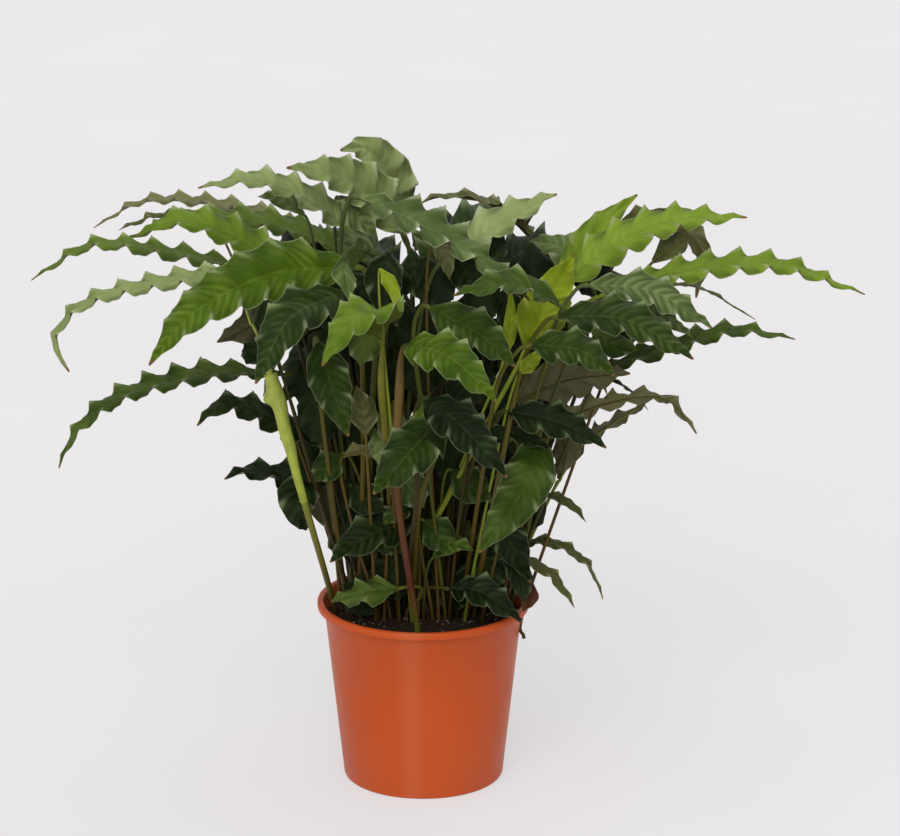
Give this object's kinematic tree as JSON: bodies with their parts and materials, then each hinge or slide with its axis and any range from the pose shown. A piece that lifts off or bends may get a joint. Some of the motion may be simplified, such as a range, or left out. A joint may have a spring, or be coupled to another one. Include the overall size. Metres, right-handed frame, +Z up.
{
  "type": "potted calathea",
  "caption": "Leafy potted calathea: long, narrow, strongly waved leaves on slender stalks, in a plain tapered nursery pot.",
  "frame": {"origin": "centre of the pot's underside", "axes": "+Z up, +X to the right of the viewer of the picture, +Y away from that viewer"},
  "size_m": [0.8027, 0.5068, 0.6381],
  "materials": {
    "pot_plastic": "satin",
    "potting_soil": "matte",
    "leaf_lime": "satin",
    "leaf_young": "satin",
    "leaf_mid": "satin",
    "leaf_mature": "satin",
    "leaf_dark": "satin",
    "leaf_grey": "satin",
    "leaf_olive": "satin"
  },
  "bodies": {
    "root": {"leaf_front_1": "leaf_young", "leaf_front_2": "leaf_grey", "leaf_front_3": "leaf_dark", "leaf_front_4": "leaf_young", "leaf_front_5": "leaf_mature", "leaf_front_6": "leaf_dark", "leaf_front_7": "leaf_mature", "leaf_front_8": "leaf_mature", "leaf_front_9": "leaf_mature", "leaf_inner_1": "leaf_dark", "leaf_inner_2": "leaf_dark", "leaf_inner_3": "leaf_dark", "leaf_left_1": "leaf_mid", "leaf_left_10": "leaf_dark", "leaf_left_11": "leaf_dark", "leaf_left_12": "leaf_dark", "leaf_left_2": "leaf_olive", "leaf_left_3": "leaf_mid", "leaf_left_4": "leaf_young", "leaf_left_5": "leaf_grey", "leaf_left_6": "leaf_young", "leaf_left_7": "leaf_dark", "leaf_left_8": "leaf_mature", "leaf_left_9": "leaf_mature", "leaf_low_1": "leaf_dark", "leaf_low_2": "leaf_mature", "leaf_low_3": "leaf_dark", "leaf_low_4": "leaf_olive", "leaf_low_5": "leaf_dark", "leaf_rear_1": "leaf_dark", "leaf_rear_2": "leaf_mature", "leaf_rear_3": "leaf_dark", "leaf_rear_4": "leaf_mature", "leaf_rear_5": "leaf_dark", "leaf_rear_6": "leaf_mature", "leaf_rear_7": "leaf_dark", "leaf_right_1": "leaf_young", "leaf_right_10": "leaf_dark", "leaf_right_11": "leaf_olive", "leaf_right_12": "leaf_dark", "leaf_right_13": "leaf_dark", "leaf_right_2": "leaf_young", "leaf_right_3": "leaf_olive", "leaf_right_4": "leaf_young", "leaf_right_5": "leaf_grey", "leaf_right_6": "leaf_olive", "leaf_right_7": "leaf_mature", "leaf_right_8": "leaf_mature", "leaf_right_9": "leaf_mature", "leaf_rolled": "leaf_lime", "leaf_top_1": "leaf_grey", "leaf_top_2": "leaf_mature", "leaf_top_3": "leaf_mature", "leaf_top_4": "leaf_mid", "leaf_top_5": "leaf_grey", "leaf_top_6": "leaf_olive", "leaf_top_7": "leaf_grey", "leaf_top_8": "leaf_mid", "pot": "pot_plastic", "soil": "potting_soil"}
  },
  "joints": []
}
